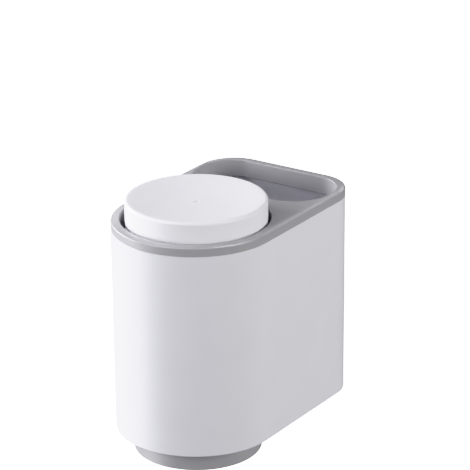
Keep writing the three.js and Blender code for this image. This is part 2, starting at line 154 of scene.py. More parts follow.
# Sizes of the magnetic boss and what it holds
NEST_GAP = 0.7 * MM
BOSS_DRAFT = 0.8 * MM
BOSS_WALL = 1.8 * MM
BOSS_FLOOR = 1.6 * MM
BOSS_EDGE_ROUND = 1 * MM
BOSS_LIP_HEIGHT = 0.8 * MM
BOSS_LIP_WIDTH = 0.9 * MM
BOSS_TIP = DISH_RADIUS - NEST_GAP
BOSS_ROOT = BOSS_TIP + BOSS_DRAFT
HOLD_DOWN_RADIUS = 6 * MM
HOLD_DOWN_WALL = 1.6 * MM
MAGNETS = 3
MAGNET_CIRCLE = 16 * MM
MAGNET_START = 30
MAGNET_RADIUS = 6 * MM
MAGNET_POCKET_WALL = 1.2 * MM
MAGNET_POCKET_HEIGHT = 2.4 * MM
DISC_EDGE = 0.3 * MM
SCREWS = 3
POST_CIRCLE = 24 * MM
POST_START = 90
POST_RADIUS = 3.2 * MM
SCREW_RADIUS = 1.2 * MM
SCREW_HEAD_RADIUS = 2.7 * MM
SCREW_HEAD_HEIGHT = 1.6 * MM
SCREW_DOME = 0.55 * SCREW_HEAD_HEIGHT
SCREW_DOME_TURN = math.radians(75)
THREAD_DEPTH = 0.35 * MM
THREAD_PITCH = 0.9 * MM
THREAD_STEEPNESS = 2.5
CROSS_WIDTH = 0.7 * MM
CROSS_LENGTH = 3 * MM
CROSS_DEPTH = 1.1 * MM
CROSS_TAPER = 0.5

# Sizes of the wall hanger
PLATE_CORNER = 6 * MM
PLATE_ROUND = 0.6 * MM
PLATE_THICKNESS = 2.4 * MM
PLATE_FRONT = pad_low.y - PLATE_THICKNESS
PAD_CORNER = 3 * MM
PAD_ROUND = 0.3 * MM
HOOK_PITCH = 36 * MM
HOOK_WIDTH = 12 * MM
HOOK_STEM = 3 * MM
HOOK_RISE = 8 * MM
HOOK_THICKNESS = 2 * MM
HOOK_ROUND = 0.4 * MM
HOOK_CORNER = 1.5 * HOOK_ROUND
HOOK_TOP = (plate_low.z + plate_high.z) / 2
RECESS_ROUND = 0.6 * MM

# Resolution
FRONT_STEPS = 96
CORNER_STEPS = 20
TURN_STEPS = 160
SMALL_STEPS = 40
ROUND_STEPS = 8
SMALL_ROUND_STEPS = 4
SEAM_STEPS = 3
CROWN_STEPS = 16
CAP_EDGE_STEPS = 12
DISH_STEPS = 40
THREAD_STEPS = 6  # rings of points in one turn of a thread
SHARP_ANGLE = math.radians(38)

# Finishes: colour, roughness, the size and depth of the grain, and how strongly plastic mirrors
SHELL_COLOUR = (0.785, 0.78, 0.828)
SHELL_ROUGHNESS = 0.36
SHELL_GRAIN = 0.5 * MM
SHELL_GRAIN_DEPTH = 0.002 * MM
CUP_COLOUR = (0.85, 0.845, 0.88)
CUP_ROUGHNESS = 0.44
CUP_GRAIN = 0.6 * MM
CUP_GRAIN_DEPTH = 0.001 * MM
TRAY_COLOUR = (0.425, 0.422, 0.442)
TRAY_ROUGHNESS = 0.31
TRAY_GRAIN = 0.4 * MM
TRAY_GRAIN_DEPTH = 0.0006 * MM
TRAY_LUSTRE = 0.9
PLATE_COLOUR = (0.72, 0.74, 0.75)
PLATE_ROUGHNESS = 0.35
PLASTIC_LUSTRE = 0.5
STEEL_COLOUR = (0.60, 0.61, 0.62)
STEEL_ROUGHNESS = 0.32
STEEL_GRAIN = 0.3 * MM
NICKEL_COLOUR = (0.66, 0.64, 0.60)
NICKEL_ROUGHNESS = 0.2
NICKEL_GRAIN = 0.5 * MM
METAL_GRAIN_DEPTH = 0.004 * MM
FOAM_COLOUR = (0.82, 0.82, 0.79)
FOAM_ROUGHNESS = 0.9
FOAM_CELL = 0.7 * MM
FOAM_CELL_DEPTH = 0.12 * MM

# Unevenness of the finishes: the size of its patches, and shares of the colour and roughness
NOISE_MIDDLE = (0.3, 0.7)
NOISE_DETAIL = 2
FLOW_SIZE = 22 * MM
FLOW_DETAIL = 3
FLOW_SHADES = (0.985, 1.01)
PLASTIC_GLOSS_SIZE = 6 * MM
PLASTIC_GLOSS = (0.92, 1.1)
PLATING_SIZE = 4 * MM
PLATING_DETAIL = 4
PLATING_SHADES = (0.88, 1.04)
METAL_GLOSS_SIZE = 2 * MM
METAL_GLOSS = (0.8, 1.3)
# Painted shade in the foam's pits: shares of the foam colour at a cell's deepest middle and at its rim
FOAM_PIT_PAINTED_SHADE = (0.86, 1)

# The photograph's view
CAMERA_AZIMUTH = math.radians(33.683)
CAMERA_ELEVATION = math.radians(21.247)
CAMERA_ROLL = math.radians(-0.45)
CAMERA_DISTANCE = 1456.7 * MM
CAMERA_SENSOR = 36
CAMERA_LENS = 217.23
CAMERA_REACH = 100
AIM_FROM_AXIS = 18 * MM
AIM_HEIGHT = 60.5 * MM
AIM_ACROSS = 9.55 * MM
AIM_UP = 34.59 * MM

# Studio
WHITE = (1, 1, 1)
COOL = (0.975, 0.972, 1)
FLOOR_DROP = 1.2
FLOOR_SIZE = 60
FLOOR_SHADE = 0.8
FLOOR_ROUGHNESS = 0.9
FLOOR_GLOW = 1.9
AMBIENT = 0.2
LIGHT_DISTANCE = 1.6
LIGHT_SIZE = 0.9
GLINT_SIZE = 0.35

# Lights: degrees to the right of the camera, degrees above the part, and watts
KEY_BACK_LEFT = (-121, 18, 30)
FILL_LEFT = (-92, 0, 11.8)
FILL_FRONT_LEFT = (-58, 17, 13.7)
TOP_LEFT = (-90, 68, 6.4)
LOW_LEFT = (-92, -40, 3)
FILL_RIGHT = (61, 15, 17.2)
GLINT_RIGHT = (124, 68.5, 7)
GLINT_BACK_RIGHT = (158, 29, 1.4)
GLINT_BACK_LEFT = (-169, 20, 0.5)
GLINT_LOW_LEFT = (-70, -21, 1.3)

# Tone curves: light and what is shown of it, and for blue, light and what it is lifted to
TONE_WHITE = 1.8
TONE_TOE = ((0.04, 0.01), (0.08, 0.04), (0.3, 0.26), (0.8, 0.76))
TONE_SHOULDER = ((0.9, 0.831), (1.0, 0.869), (1.2, 0.91), (1.38, 0.93))
TONE_BLUE_LOW = ((0.25, 0.25), (0.5, 0.5), (0.75, 0.75))
TONE_BLUE_HIGH = ((0.9, 0.92), (1.09, 1.22), (1.3, 1.42), (1.55, 1.6))
BLUE_CURVE = 2
EVERY_CHANNEL_CURVE = 3


# Mesh helpers
def made(name, bm):
    """A linked object from a bmesh, with its faces pointing out."""
    bmesh.ops.recalc_face_normals(bm, faces=bm.faces)
    mesh = bpy.data.meshes.new(name)
    bm.to_mesh(mesh)
    bm.free()
    piece = bpy.data.objects.new(name, mesh)
    bpy.context.scene.collection.objects.link(piece)
    return piece


def skin(name, rings):
    """A closed solid skinned over rings of points, with a flat face at each end."""
    bm = bmesh.new()
    loops = [[bm.verts.new(point) for point in ring] for ring in rings]
    count = len(loops[0])
    for lower, upper in zip(loops, loops[1:]):
        for i in range(count):
            j = (i + 1) % count
            bm.faces.new((lower[i], lower[j], upper[j], upper[i]))
    bm.faces.new(loops[0])
    bm.faces.new(loops[-1])
    return made(name, bm)


def upward(name, sections):
    """A solid skinned over (outline in x and y, z) sections."""
    return skin(name, [[(x, y, z) for x, y in outline] for outline, z in sections])


def inward(name, sections):
    """A solid skinned over (outline in x and z, y) sections."""
    return skin(name, [[(x, y, z) for x, z in outline] for outline, y in sections])


def prism(name, outline, low, high):
    """A straight upright solid."""
    return upward(name, [(outline, low), (outline, high)])


def circle(centre, radius, z, steps):
    """Points round an upright axis, at one height."""
    angles = [2 * math.pi * i / steps for i in range(steps)]
    return [(centre[0] + radius * math.cos(a), centre[1] + radius * math.sin(a), z) for a in angles]


def turned(name, profile, centre=(0, AXIS_Y), steps=TURN_STEPS, closed=False):
    """A solid turned about an upright axis from (radius, z) points. A point on the axis stays one point."""
    bm = bmesh.new()
    rows = []
    for radius, z in profile:
        points = circle(centre, radius, z, steps if radius > 0 else 1)
        rows.append([bm.verts.new(point) for point in points])
    pairs = list(zip(rows, rows[1:]))
    if closed:
        pairs.append((rows[-1], rows[0]))
    for lower, upper in pairs:
        for i in range(steps):
            around = ((lower, i), (lower, i + 1), (upper, i + 1), (upper, i))
            corners = list(dict.fromkeys(row[k % len(row)] for row, k in around))
            if len(corners) > 2:
                bm.faces.new(corners)
    return made(name, bm)


def rod(name, radius, low, high, centre=(0, AXIS_Y), steps=TURN_STEPS):
    return turned(name, [(0, low), (radius, low), (radius, high), (0, high)], centre, steps)


def tube(name, inner, outer, low, high, centre=(0, AXIS_Y), steps=TURN_STEPS):
    corners = [(inner, low), (outer, low), (outer, high), (inner, high)]
    return turned(name, corners, centre, steps, closed=True)


def combine(target, tools, operation):
    """Cuts the tools from the target, or joins them to it, and deletes them."""
    for tool in tools:
        step = target.modifiers.new("combine", "BOOLEAN")
        step.operation = operation
        step.solver = "EXACT"
        step.object = tool
    graph = bpy.context.evaluated_depsgraph_get()
    mesh = bpy.data.meshes.new_from_object(target.evaluated_get(graph))
    target.modifiers.clear()
    target.data = mesh
    for tool in tools:
        bpy.data.objects.remove(tool)
    return target


def cut(target, *tools):
    return combine(target, tools, "DIFFERENCE")


def join(target, *tools):
    return combine(target, tools, "UNION")


def dress(piece, body, slot, material, *nodes):
    """Shades a finished piece and ties it to the frame."""
    piece.data.materials.clear()
    piece.data.materials.append(material)
    piece.data.shade_smooth()
    piece.data.set_sharp_from_angle(angle=SHARP_ANGLE)
    normals = piece.modifiers.new("even normals", "WEIGHTED_NORMAL")
    normals.keep_sharp = True
    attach(piece, body)
    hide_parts(*nodes)
    return piece


# Rounded edges
def quarter(steps=ROUND_STEPS):
    """Shares (across, up) of a quarter round, from its foot to its top."""
    angles = [math.pi / 2 * i / steps for i in range(steps + 1)]
    return [(1 - math.cos(a), math.sin(a)) for a in angles]


def foot_round(radius, steps=ROUND_STEPS):
    """(inset, rise) pairs up an edge that is rounded at its foot."""
    return [(radius * (1 - up), radius * across) for across, up in quarter(steps)]


def head_round(radius, steps=ROUND_STEPS):
    """(inset, drop) pairs up an edge that is rounded at its top."""
    return [(radius * across, radius * (1 - up)) for across, up in quarter(steps)]


def flared(outline, low, high, radius):
    """Sections of a cutter that leaves both edges of a plate rounded, as (outline, place) pairs."""
    foot = [(outline(inset), low + rise) for inset, rise in foot_round(radius)]
    head = [(outline(inset), high - drop) for inset, drop in head_round(radius)]
    return [(outline(radius), low - CUT)] + foot + head + [(outline(radius), high + CUT)]


def pillow(outline, low, high, radius):
    """Sections of a plate with both its edges rounded, as (outline, place) pairs."""
    foot = [(outline(-inset), low + rise) for inset, rise in foot_round(radius)]
    head = [(outline(-inset), high - drop) for inset, drop in head_round(radius)]
    return foot + head


def rounded_disc(name, radius, low, high, centre=(0, AXIS_Y), steps=TURN_STEPS):
    """A flat disc with both its edges rounded."""
    foot = [(radius - inset, low + rise) for inset, rise in foot_round(DISC_EDGE, SMALL_ROUND_STEPS)]
    head = [(radius - inset, high - drop) for inset, drop in head_round(DISC_EDGE, SMALL_ROUND_STEPS)]
    return turned(name, [(0, low)] + foot + head + [(0, high)], centre, steps)


# Outlines and places
def arc(x, y, radius, start, end, steps):
    """Points of an arc from start to end degrees, both included."""
    angles = [math.radians(start + (end - start) * i / steps) for i in range(steps + 1)]
    return [(x + radius * math.cos(a), y + radius * math.sin(a)) for a in angles]


def body_outline(inset, back_inset=None):
    """The holder from above: a half-round front, straight sides and rounded back corners."""
    half = BODY_HALF - inset
    corner = BACK_CORNER - inset
    back = BACK_FACE - (inset if back_inset is None else back_inset)
    return (
        arc(0, AXIS_Y, half, 180, 360, FRONT_STEPS)
        + arc(half - corner, back - corner, corner, 0, 90, CORNER_STEPS)
        + arc(corner - half, back - corner, corner, 90, 180, CORNER_STEPS)
    )


def compartment_outline(grow):
    """The brush compartment from above."""
    half = BODY_HALF - SIDE_RIM + grow
    front = COMPARTMENT_FRONT - grow
    back = COMPARTMENT_BACK + grow
    near = COMPARTMENT_FRONT_CORNER + grow
    far = COMPARTMENT_BACK_CORNER + grow
    return (
        arc(near - half, front + near, near, 180, 270, CORNER_STEPS)
        + arc(half - near, front + near, near, 270, 360, CORNER_STEPS)
        + arc(half - far, back - far, far, 0, 90, CORNER_STEPS)
        + arc(far - half, back - far, far, 90, 180, CORNER_STEPS)
    )


def rectangle(left, right, low, high, corner, grow=0.0):
    """A rectangle with rounded corners, grown or shrunk all round."""
    left, right, low, high = left - grow, right + grow, low - grow, high + grow
    corner = corner + grow
    return (
        arc(left + corner, low + corner, corner, 180, 270, ROUND_STEPS)
        + arc(right - corner, low + corner, corner, 270, 360, ROUND_STEPS)
        + arc(right - corner, high - corner, corner, 0, 90, ROUND_STEPS)
        + arc(left + corner, high - corner, corner, 90, 180, ROUND_STEPS)
    )


def square_corners(half_x, half_y):
    return [(-half_x, -half_y), (half_x, -half_y), (half_x, half_y), (-half_x, half_y)]


def spot_at(radius, angle):
    """A place round the well's axis, at an angle in degrees."""
    a = math.radians(angle)
    return (radius * math.cos(a), AXIS_Y + radius * math.sin(a))


def magnet_spots():
    return [spot_at(MAGNET_CIRCLE, MAGNET_START + 360 * i / MAGNETS) for i in range(MAGNETS)]


def screw_spots():
    return [spot_at(POST_CIRCLE, POST_START + 360 * i / SCREWS) for i in range(SCREWS)]


def draft(z):
    """How far the shell's sides are drawn in at a height."""
    return SHELL_DRAFT * (SHELL_TOP - z) / (SHELL_TOP - UNDERSIDE)


# Outer shell
def outer_shell(material):
    foot = [
        (body_outline(SHELL_DRAFT + inset, inset), UNDERSIDE + rise)
        for inset, rise in foot_round(SHELL_EDGE_ROUND)
    ]
    head = [(body_outline(inset), SHELL_TOP - drop) for inset, drop in head_round(SEAM_ROUND, SEAM_STEPS)]
    shell = upward("outer_shell_moulding", foot + head)
    inside = upward(
        "inside",
        [
            (body_outline(draft(FLOOR_TOP) + SHELL_WALL, SHELL_WALL), FLOOR_TOP),
            (body_outline(SHELL_WALL), SHELL_TOP + CUT),
        ],
    )
    cut(inside, recess_bulge(), partition(), *cup_ribs())
    floor_cuts = drains() + [boss_groove()] + screw_holes()
    cut(shell, inside, recess(), *hook_slots(), *floor_cuts, *snaps(FIT))
    join(shell, hold_down())
    return dress(shell, "holder", "shell_plastic", material, "outer_shell")


def recess_outline(grow):
    """The pocket in the back, which is taller than the wall plate by the rise of its hooks."""
    low = plate_low.z - HOOK_RISE - 2 * FIT
    high = plate_high.z + FIT
    return rectangle(plate_low.x - FIT, plate_high.x + FIT, low, high, PLATE_CORNER, grow)


def recess():
    """The pocket in the back that the wall plate sits in, with its mouth rounded."""
    bottom = (recess_outline(0), PLATE_FRONT - FIT)
    mouth = [(recess_outline(flare), BACK_FACE - drop) for flare, drop in head_round(RECESS_ROUND)]
    outside = (recess_outline(RECESS_ROUND), BACK_FACE + CUT)
    return inward("recess", [bottom] + mouth + [outside])


def recess_bulge():
    """The wall round that pocket, inside the shell."""
    panel_front = PLATE_FRONT - FIT - SHELL_WALL
    rounded = [
        (recess_outline(SHELL_WALL - inset), panel_front + rise) for inset, rise in foot_round(RECESS_ROUND)
    ]
    return inward("bulge", rounded + [(recess_outline(SHELL_WALL), BACK_FACE)])


def hook_slots():
    """Windows in the recessed panel for the wall hooks."""
    return [hook_slot(side * HOOK_PITCH / 2) for side in (-1, 1)]


def hook_slot(x):
    high = HOOK_TOP + SEAT
    low = high - HOOK_STEM - HOOK_RISE - 2 * FIT
    half = HOOK_WIDTH / 2 + FIT
    back = PLATE_FRONT - FIT

    def outline(grow):
        return rectangle(x - half, x + half, low, high, HOOK_ROUND, grow)

    return inward("hook_slot", flared(outline, back - SHELL_WALL, back, OPENING_ROUND))


def partition():
    """The curved wall between the well and the brush compartment."""
    outer = arc(0, AXIS_Y, WELL_RADIUS + PARTITION_WALL, 0, 180, FRONT_STEPS)
    inner = arc(0, AXIS_Y, WELL_RADIUS, 180, 0, FRONT_STEPS)
    return prism("partition", outer + inner, UNDERSIDE, TRAY_FOOT - PARTITION_DROP)


def cup_ribs():
    """Ribs on the well's floor that carry the mouth of the parked cup."""
    return [cup_rib(360 / RIBS * (i + 0.5)) for i in range(RIBS)]


def cup_rib(angle):
    top = FLOOR_TOP + RIB_HEIGHT
    inner = WELL_RADIUS - RIB_REACH
    outer = WELL_RADIUS + PARTITION_WALL

    def outline(grow):
        return rectangle(inner, outer, -RIB_WIDTH / 2, RIB_WIDTH / 2, RIB_ROUND, grow)

    rounded = head_round(RIB_ROUND, SMALL_ROUND_STEPS)
    head = [(outline(-RIB_TAPER * inset), top - drop) for inset, drop in rounded]
    rib = upward("rib", [(outline(0), UNDERSIDE)] + head)
    turn = Matrix.Rotation(math.radians(angle), 4, "Z")
    rib.data.transform(Matrix.Translation((0, AXIS_Y, 0)) @ turn)
    return rib


def drains():
    """Bent slots round the well's floor and straight ones in the floor under the brushes."""
    bent = [well_drain(360 / RIBS * i) for i in range(RIBS)]
    middle = (BRUSH_DRAINS - 1) / 2
    straight = [brush_drain((i - middle) * BRUSH_DRAIN_PITCH) for i in range(BRUSH_DRAINS)]
    return bent + straight


def well_drain(angle):
    """A drain that follows the well's wall, centred on an angle in degrees, with round ends."""
    middle = WELL_RADIUS - FIT - DRAIN_WIDTH / 2
    swing = DRAIN_ANGLE / 2 - math.degrees(DRAIN_WIDTH / 2 / middle)
    start, end = angle - swing, angle + swing

    def outline(grow):
        half = DRAIN_WIDTH / 2 + grow
        return (
            arc(0, AXIS_Y, middle + half, start, end, CORNER_STEPS)
            + arc(*spot_at(middle, end), half, end, end + 180, ROUND_STEPS)[1:-1]
            + arc(0, AXIS_Y, middle - half, end, start, CORNER_STEPS)
            + arc(*spot_at(middle, start), half, start + 180, start + 360, ROUND_STEPS)[1:-1]
        )

    return upward("drain", flared(outline, UNDERSIDE, FLOOR_TOP, DRAIN_ROUND))


def brush_drain(x):
    left, right = x - BRUSH_DRAIN_WIDTH / 2, x + BRUSH_DRAIN_WIDTH / 2
    middle = (COMPARTMENT_FRONT + COMPARTMENT_BACK) / 2
    low, high = middle - BRUSH_DRAIN_LENGTH / 2, middle + BRUSH_DRAIN_LENGTH / 2

    def outline(grow):
        return rectangle(left, right, low, high, BRUSH_DRAIN_CORNER, grow)

    return upward("drain", flared(outline, UNDERSIDE, FLOOR_TOP, OPENING_ROUND))


def boss_groove():
    """The groove in the underside for the boss's lip."""
    outer = BOSS_ROOT - BOSS_WALL + BOSS_LIP_WIDTH + FIT
    inner = outer - BOSS_LIP_WIDTH - 2 * FIT
    return tube("groove", inner, outer, UNDERSIDE - CUT, UNDERSIDE + BOSS_LIP_HEIGHT + SEAT)


def screw_holes():
    radius = SCREW_RADIUS + FIT
    low, high = UNDERSIDE - CUT, FLOOR_TOP + CUT
    return [rod("hole", radius, low, high, spot, SMALL_STEPS) for spot in screw_spots()]


def hold_down():
    """The ring under the floor that keeps the back plate on its magnets."""
    inner = HOLD_DOWN_RADIUS - HOLD_DOWN_WALL
    low, high = back_plate_high.z + SEAT, UNDERSIDE + CUT
    return tube("hold_down", inner, HOLD_DOWN_RADIUS, low, high, steps=SMALL_STEPS)


def snaps(grow):
    """Wedge-shaped bars on the sides of the tray, or with room round them, their pockets."""
    plug_side = BODY_HALF - PLUG_INSET
    root = plug_side - COLLAR_WALL / 2
    tip = plug_side + SNAP_REACH + grow
    middle = (TRAY_FOOT + SHELL_TOP) / 2
    low = middle - SNAP_HEIGHT / 2 - grow
    high = middle + SNAP_HEIGHT / 2 + grow
    profile = [(root, low), (tip - SNAP_REACH / 2, low), (tip, middle), (tip, high), (root, high)]
    half = SNAP_LENGTH / 2 + grow
    bars = []
    for y in (AXIS_Y + SNAP_LENGTH, COMPARTMENT_FRONT + COMPARTMENT_FRONT_CORNER):
        for side in (-1, 1):
            outline = [(side * x, z) for x, z in profile]
            bars.append(inward("snap", [(outline, y - half), (outline, y + half)]))
    return bars


# Top tray
def top_tray(material):
    foot_z = SHELL_TOP + SEAM
    foot = [(body_outline(inset), foot_z + rise) for inset, rise in foot_round(SEAM_ROUND, SEAM_STEPS)]
    crown = [
        (body_outline(RIM_CROWN * across), TRAY_TOP - RIM_DROP * (1 - up))
        for across, up in quarter(CROWN_STEPS)
    ]
    tray = upward("top_tray_moulding", foot + crown)
    plug = prism("plug", body_outline(PLUG_INSET), TRAY_FOOT, foot_z + DECK_THICKNESS / 2)
    join(tray, plug, *snaps(0))
    cut(tray, tray_hollow(), cup_hole(), brush_opening())
    return dress(tray, "holder", "grey_plastic", material, "top_tray")


def tray_hollow():
    """The space under the deck, round the collars and the rib under the web."""
    low, high = TRAY_FOOT - CUT, TRAY_TOP - DECK_THICKNESS
    below, above = low - CUT, TRAY_TOP
    hollow = prism("hollow", body_outline(PLUG_INSET + COLLAR_WALL), low, high)
    round_collar = rod("collar", HOLE_RADIUS + COLLAR_WALL, below, above)
    long_collar = prism("collar", compartment_outline(COLLAR_WALL), below, above)
    rib_outline = rectangle(-DECK_RIB / 2, DECK_RIB / 2, AXIS_Y, BACK_FACE, DECK_RIB_CORNER)
    rib = prism("rib", rib_outline, below, above)
    return cut(hollow, round_collar, long_collar, rib)


def tray_opening(outline):
    """Sections of an opening through the tray with both its edges rounded, as (outline, z) pairs."""
    below = (outline(COLLAR_ROUND), TRAY_FOOT - CUT)
    low = [
        (outline(flare), TRAY_FOOT + rise)
        for flare, rise in foot_round(COLLAR_ROUND, SMALL_ROUND_STEPS)
    ]
    high = [(outline(flare), TRAY_TOP - drop) for flare, drop in head_round(HOLE_ROUND)]
    above = (outline(HOLE_ROUND), TRAY_TOP + CUT)
    return [below] + low + high + [above]


def cup_hole():
    wall = tray_opening(lambda grow: HOLE_RADIUS + grow)
    return turned("cup_hole", [(0, TRAY_FOOT - CUT)] + wall + [(0, TRAY_TOP + CUT)])


def brush_opening():
    return upward("brush_opening", tray_opening(compartment_outline))


# Magnetic boss and what it holds
def base_boss(material):
    foot = boss_low.z
    top = UNDERSIDE - SEAT
    floor_z = foot + BOSS_FLOOR
    inner_top = BOSS_ROOT - BOSS_WALL
    lip = inner_top + BOSS_LIP_WIDTH
    edge = [(BOSS_TIP - inset, foot + rise) for inset, rise in foot_round(BOSS_EDGE_ROUND)]
    profile = [(0, foot)] + edge + [
        (BOSS_ROOT, top),
        (lip, top),
        (lip, boss_high.z),
        (inner_top, boss_high.z),
        (inner_top, top),
        (BOSS_TIP - BOSS_WALL, floor_z),
        (0, floor_z),
    ]
    boss = turned("base_boss_moulding", profile)
    join(boss, *magnet_pockets(floor_z), *screw_posts(floor_z, top))
    return dress(boss, "holder", "grey_plastic", material, "base_boss")


def magnet_pockets(floor_z):
    inner = MAGNET_RADIUS + FIT
    outer = inner + MAGNET_POCKET_WALL
    low, high = floor_z - BOSS_FLOOR / 2, floor_z + MAGNET_POCKET_HEIGHT
    return [tube("pocket", inner, outer, low, high, spot, SMALL_STEPS) for spot in magnet_spots()]


def screw_posts(floor_z, top):
    inner = SCREW_RADIUS + FIT
    low = floor_z - BOSS_FLOOR / 2
    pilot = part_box("boss_screw_1")[0].z - FIT
    corners = [(0, low), (POST_RADIUS, low), (POST_RADIUS, top), (inner, top), (inner, pilot), (0, pilot)]
    return [turned("post", corners, spot, SMALL_STEPS) for spot in screw_spots()]


def magnets(material):
    for i, spot in enumerate(magnet_spots(), start=1):
        node = f"boss_magnet_{i}"
        low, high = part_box(node)
        magnet = rounded_disc(f"{node}_plated", MAGNET_RADIUS, low.z, high.z, spot, SMALL_STEPS)
        dress(magnet, "holder", "magnet", material, node)


def steel_discs(material):
    """The plate behind the magnets, and the disc in the cup's base that they hold."""
    low, high = back_plate_low.z, back_plate_high.z
    plate = rounded_disc("magnet_back_plate_blank", BACK_PLATE_RADIUS, low, high)
    dress(plate, "holder", "steel", material, "magnet_back_plate")
    low, high = keeper_low.z, keeper_high.z
    keeper = rounded_disc("cup_keeper_disc_blank", KEEPER_RADIUS, low, high, CUP_CENTRE)
    dress(keeper, "cup", "steel", material, "cup_keeper_disc")


def screws(material):
    for i, spot in enumerate(screw_spots(), start=1):
        node = f"boss_screw_{i}"
        low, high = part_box(node)
        under_head = high.z - SCREW_HEAD_HEIGHT
        rings = threaded_shank(low.z, under_head, spot) + pan_head(under_head, high.z, spot)
        screw = skin(f"{node}_turned", rings)
        cut(screw, *[cross_blade(spot, high.z, turn) for turn in (0, 90)])
        dress(screw, "holder", "steel", material, node)


def threaded_shank(foot, head, spot):
    """Rings of points up a pointed shank with a helical thread."""
    rows = int((head - foot) / THREAD_PITCH * THREAD_STEPS)
    rings = []
    for row in range(1, rows + 1):
        z = foot + (head - foot) * row / rows
        taper = min(1.0, (z - foot) / SCREW_RADIUS)
        ring = []
        for i in range(SMALL_STEPS):
            share = i / SMALL_STEPS
            phase = ((z - foot) / THREAD_PITCH - share) % 1.0
            crest = max(0.0, 1 - THREAD_STEEPNESS * abs(phase - 0.5))
            radius = (SCREW_RADIUS - THREAD_DEPTH * (1 - crest)) * taper
            angle = 2 * math.pi * share
            ring.append((spot[0] + radius * math.cos(angle), spot[1] + radius * math.sin(angle), z))
        rings.append(ring)
    return rings


def pan_head(under_head, top, spot):
    """Rings of points up a domed head."""
    brim = top - SCREW_DOME
    angles = [SCREW_DOME_TURN * k / ROUND_STEPS for k in range(1, ROUND_STEPS + 1)]
    profile = [(SCREW_HEAD_RADIUS, under_head), (SCREW_HEAD_RADIUS, brim)]
    profile += [(SCREW_HEAD_RADIUS * math.cos(a), brim + SCREW_DOME * math.sin(a)) for a in angles]
    return [circle(spot, radius, z, SMALL_STEPS) for radius, z in profile]


def cross_blade(spot, top, turn):
    """One tapered blade of the cross recess in a screw's head."""
    high = square_corners(CROSS_LENGTH / 2, CROSS_WIDTH / 2)
    low = [(x * CROSS_TAPER, y * CROSS_TAPER) for x, y in high]
    blade = upward("blade", [(low, top - CROSS_DEPTH), (high, top), (high, top + CUT)])
    place = Matrix.Translation((spot[0], spot[1], 0)) @ Matrix.Rotation(math.radians(turn), 4, "Z")
    blade.data.transform(place)
    return blade


# Rinse cup
def cup_body(material):
    spigot = CUP_RADIUS - CAP_WALL - FIT
    shoulder = CAP_FOOT - FIT
    inner_mouth = MOUTH_RADIUS - CUP_WALL
    inner_end = spigot - CUP_WALL
    inside = CUP_END - CUP_WALL
    lip_out = [(MOUTH_RADIUS - inset, CUP_MOUTH + rise) for inset, rise in foot_round(CUP_LIP_ROUND)]
    lip_in = [(inner_mouth + inset, CUP_MOUTH + drop) for inset, drop in head_round(CUP_LIP_ROUND)]
    corner = [(inner_end - inset, inside - drop) for inset, drop in head_round(CUP_CORNER)]
    end = [(CUP_RADIUS, shoulder), (spigot, shoulder), (spigot, CUP_END), (0, CUP_END), (0, inside)]
    profile = lip_out + end + list(reversed(corner)) + lip_in[:-1]
    cup = turned("cup_body_moulding", profile, CUP_CENTRE, closed=True)
    return dress(cup, "cup", "cup_plastic", material, "cup_body")


def cup_base_cap(material):
    inner = CUP_RADIUS - CAP_WALL
    under = CUP_TOP - DISH_DEPTH - CAP_THICKNESS
    foot = [
        (CUP_RADIUS - inset, CAP_FOOT + rise)
        for inset, rise in foot_round(CAP_FOOT_ROUND, SMALL_ROUND_STEPS)
    ]
    edge = [
        (CUP_RADIUS - inset, CUP_TOP - drop) for inset, drop in head_round(CAP_EDGE_ROUND, CAP_EDGE_STEPS)
    ]
    profile = [(inner, CAP_FOOT)] + foot + edge + dish() + gate_mark() + [(0, under), (inner, under)]
    cap = turned("cup_base_cap_moulding", profile, CUP_CENTRE, closed=True)
    return dress(cap, "cup", "cup_plastic", material, "cup_base_cap")


def dish():
    """(radius, z) points of the hollow in the cap, from its lip to the gate mark."""
    points = []
    for i in range(1, DISH_STEPS):
        share = 1 - i / DISH_STEPS
        radius = GATE_RADIUS + (DISH_RADIUS - GATE_RADIUS) * share
        points.append((radius, CUP_TOP - DISH_DEPTH * (1 - share * share)))
    return points


def gate_mark():
    """(radius, z) points of the small ring groove that moulding leaves in the middle of the dish."""
    low = CUP_TOP - DISH_DEPTH
    groove = low - GATE_DEPTH
    return [
        (GATE_RADIUS, low),
        (GATE_RADIUS - GATE_SLOPE, groove),
        (GATE_NUB + GATE_SLOPE, groove),
        (GATE_NUB, low - GATE_NUB_DROP),
        (0, low),
    ]


# Wall hanger
def wall_plate(material):
    def outline(grow):
        return rectangle(plate_low.x, plate_high.x, plate_low.z, plate_high.z, PLATE_CORNER, grow)

    plate = inward("wall_plate_moulding", pillow(outline, PLATE_FRONT, pad_low.y, PLATE_ROUND))
    for side in (-1, 1):
        join(plate, *hook(side * HOOK_PITCH / 2))
    return dress(plate, "wall_mount", "plate_plastic", material, "wall_plate")


def hook(x):
    """A stem that comes out of the plate, and the tongue that turns up from it."""
    left, right = x - HOOK_WIDTH / 2, x + HOOK_WIDTH / 2
    foot = HOOK_TOP - HOOK_STEM
    front = plate_low.y

    def tongue_outline(grow):
        return rectangle(left, right, foot, HOOK_TOP + HOOK_RISE, HOOK_CORNER, grow)

    stem_outline = rectangle(left, right, foot, HOOK_TOP, HOOK_CORNER)
    ends = (front + HOOK_THICKNESS / 2, PLATE_FRONT + PLATE_THICKNESS / 2)
    stem = inward("stem", [(stem_outline, y) for y in ends])
    tongue = inward("tongue", pillow(tongue_outline, front, front + HOOK_THICKNESS, HOOK_ROUND))
    return [stem, tongue]


def adhesive_pad(material):
    def outline(grow):
        return rectangle(pad_low.x, pad_high.x, pad_low.z, pad_high.z, PAD_CORNER, grow)

    pad = inward("adhesive_pad_tape", pillow(outline, pad_low.y, pad_high.y, PAD_ROUND))
    return dress(pad, "wall_mount", "foam_tape", material, "adhesive_pad")


# Materials
def new_material(name):
    """A material, its node tree and its shader."""
    material = bpy.data.materials.new(name)
    material.use_nodes = True
    tree = material.node_tree
    return material, tree, tree.nodes["Principled BSDF"]


